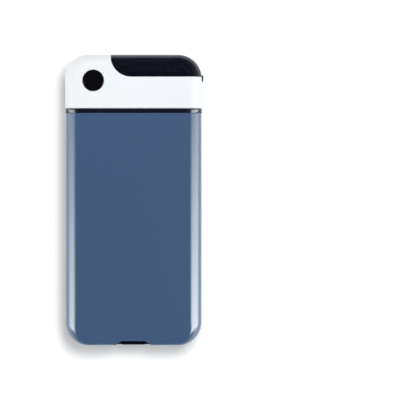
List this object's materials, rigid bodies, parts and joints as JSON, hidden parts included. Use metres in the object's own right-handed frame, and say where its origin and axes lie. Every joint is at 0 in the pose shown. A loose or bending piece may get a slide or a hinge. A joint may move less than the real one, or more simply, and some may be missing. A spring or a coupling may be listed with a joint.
{
  "type": "timed lock container",
  "caption": "Pocket-size timed lock case: a flip cover over a tray, held shut by a motor-driven bolt until a timer in the head releases it.",
  "frame": {"origin": "centre of the flat back face, on which the case lies", "axes": "+Z out of the front face, +Y along the case towards its white head, +X to the right as seen from the front"},
  "size_m": [0.0647, 0.136, 0.028],
  "materials": {
    "dark_shell": "dark navy ABS, semi-gloss",
    "white_cap": "white ABS, fine satin",
    "smoked_lens": "smoked acrylic, polished",
    "blue_cover": "blue-grey ABS, satin",
    "dark_liner": "dark navy ABS, fine texture",
    "tray_plastic": "dark grey ABS, fine texture",
    "lock_plastic": "black POM, dull",
    "black_button": "black ABS, gloss",
    "pressed_steel": "plain steel, ground",
    "screw_steel": "zinc-nickel plated steel",
    "plated_metal": "nickel plated",
    "gear_brass": "machined brass",
    "lead_insulation": "soft PVC",
    "board_laminate": "glass-fibre board with solder mask",
    "chip_plastic": "moulded epoxy",
    "socket_plastic": "natural nylon",
    "panel_glass": "display glass with polariser",
    "battery_foil": "pouch foil",
    "foam": "closed-cell foam"
  },
  "bodies": {
    "case": {"rear_shell": "dark_shell", "head_cap": "white_cap", "display_window": "smoked_lens", "hinge_pin": "pressed_steel", "inner_tray": "tray_plastic", "lock_carrier": "lock_plastic", "lock_lid": "lock_plastic", "lock_screws": "screw_steel", "lock_motor": "plated_metal", "motor_leads": "lead_insulation", "main_board": "board_laminate", "board_screws": "screw_steel", "board_chips": "chip_plastic", "board_header": "chip_plastic", "display_board": "board_laminate", "display_screws": "screw_steel", "display_frame": "chip_plastic", "display_panel": "panel_glass", "main_switch": "plated_metal", "side_switch": "plated_metal", "hall_sensor": "chip_plastic", "buzzer": "chip_plastic", "battery": "battery_foil", "battery_pad": "foam", "battery_leads": "lead_insulation", "lead_sockets": "socket_plastic", "usb_socket": "plated_metal", "shell_screws": "screw_steel"},
    "cover": {"front_cover": "blue_cover", "cover_liner": "dark_liner", "liner_screws": "screw_steel", "latch_keeper": "pressed_steel", "keeper_screws": "screw_steel", "cover_magnet": "plated_metal"},
    "button": {"main_button": "black_button", "main_plunger": "chip_plastic"},
    "edge_button": {"side_button": "black_button", "side_plunger": "chip_plastic"},
    "bolt": {"lock_bolt": "pressed_steel"},
    "pinion": {"drive_pinion": "gear_brass", "motor_shaft": "pressed_steel"}
  },
  "joints": [
    {"name": "cover_hinge", "type": "hinge", "parent": "case", "child": "cover", "pos_m": [0, 0.04172, 0.02695], "axis": [-1, 0, 0], "range_deg": [0, 95]},
    {"name": "main_button_press", "type": "slide", "parent": "case", "child": "button", "axis": [0, 0, -1], "range_m": [0, 0.0005], "stiffness_N_per_m": 1000, "springref_m": -0.0004},
    {"name": "side_button_press", "type": "slide", "parent": "case", "child": "edge_button", "axis": [-1, 0, 0], "range_m": [0, 0.0004], "stiffness_N_per_m": 1000, "springref_m": -0.0004},
    {"name": "bolt_slide", "type": "slide", "parent": "case", "child": "bolt", "axis": [1, 0, 0], "range_m": [0, 0.004]},
    {"name": "pinion_spin", "type": "hinge", "parent": "case", "child": "pinion", "pos_m": [-0.0115, -0.0605, 0.0188], "axis": [0, 0, 1], "range_deg": [-95, 0]}
  ],
  "couplings": [
    {"joint": "pinion_spin", "follows": "bolt_slide", "rad_per_m": -400}
  ]
}
